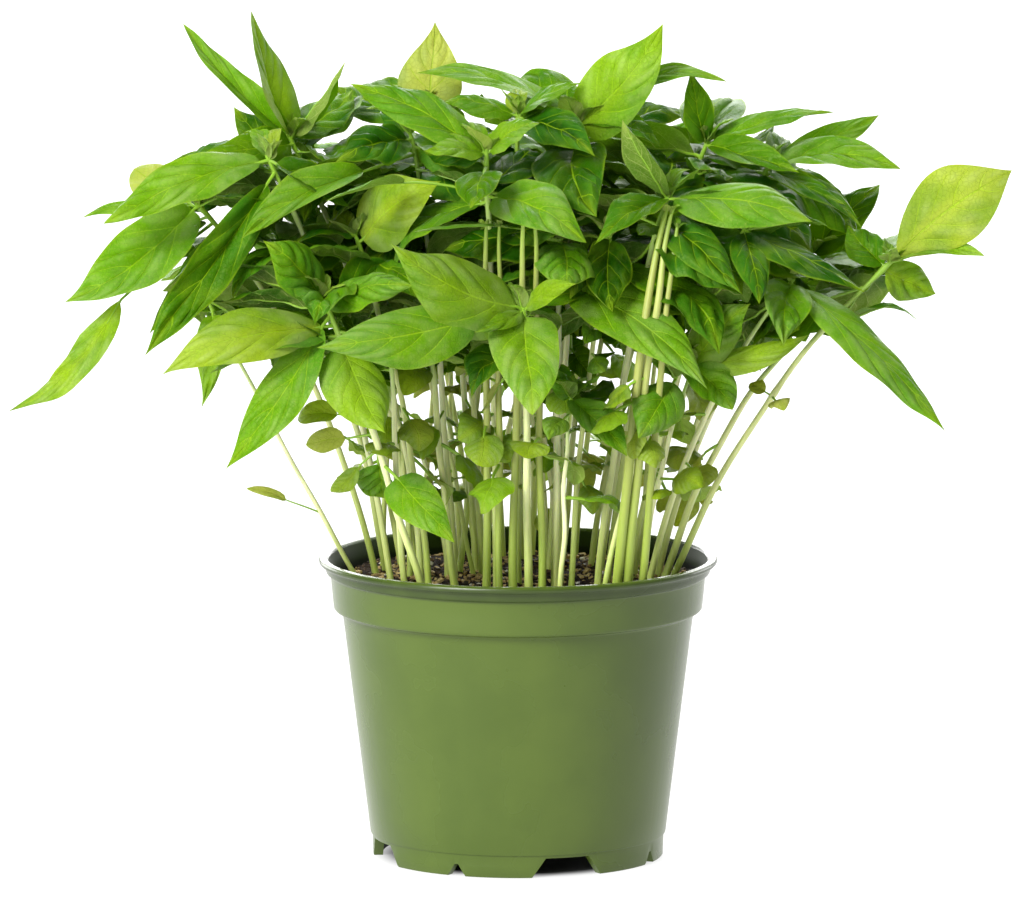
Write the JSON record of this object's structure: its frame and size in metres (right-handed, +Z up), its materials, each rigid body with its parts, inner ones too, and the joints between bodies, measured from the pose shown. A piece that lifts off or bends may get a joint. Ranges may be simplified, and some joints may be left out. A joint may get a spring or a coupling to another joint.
{
  "type": "potted basil plant",
  "caption": "Thick stand of young basil seedlings with glossy pointed leaves on pale stems, rooted in soil in a green plastic nursery pot.",
  "frame": {"origin": "on the ground plane at the centre of the pot's foot ring, on the pot's axis", "axes": "+Z up along the pot's axis; -Y is the front of the bush, +X the side of the long leaning stem"},
  "size_m": [0.3762, 0.2353, 0.3261],
  "materials": {
    "pot_plastic": "satin",
    "potting_soil": "matte",
    "basil": "satin"
  },
  "bodies": {
    "root": {"pot": "pot_plastic", "soil": "potting_soil", "plant_01": "basil", "plant_02": "basil", "plant_03": "basil", "plant_04": "basil", "plant_05": "basil", "plant_06": "basil", "plant_07": "basil", "plant_08": "basil", "plant_09": "basil", "plant_10": "basil", "plant_11": "basil", "plant_12": "basil", "plant_13": "basil", "plant_14": "basil", "plant_15": "basil", "plant_16": "basil", "plant_17": "basil", "plant_18": "basil", "plant_19": "basil", "plant_20": "basil", "plant_21": "basil", "plant_22": "basil", "plant_23": "basil", "plant_24": "basil", "plant_25": "basil", "plant_26": "basil", "plant_27": "basil", "plant_28": "basil", "plant_29": "basil", "plant_30": "basil", "plant_31": "basil", "plant_32": "basil", "plant_33": "basil", "plant_34": "basil", "plant_35": "basil", "plant_36": "basil", "plant_37": "basil", "plant_38": "basil", "plant_39": "basil", "plant_40": "basil", "plant_41": "basil", "plant_42": "basil", "plant_43": "basil"}
  },
  "joints": []
}
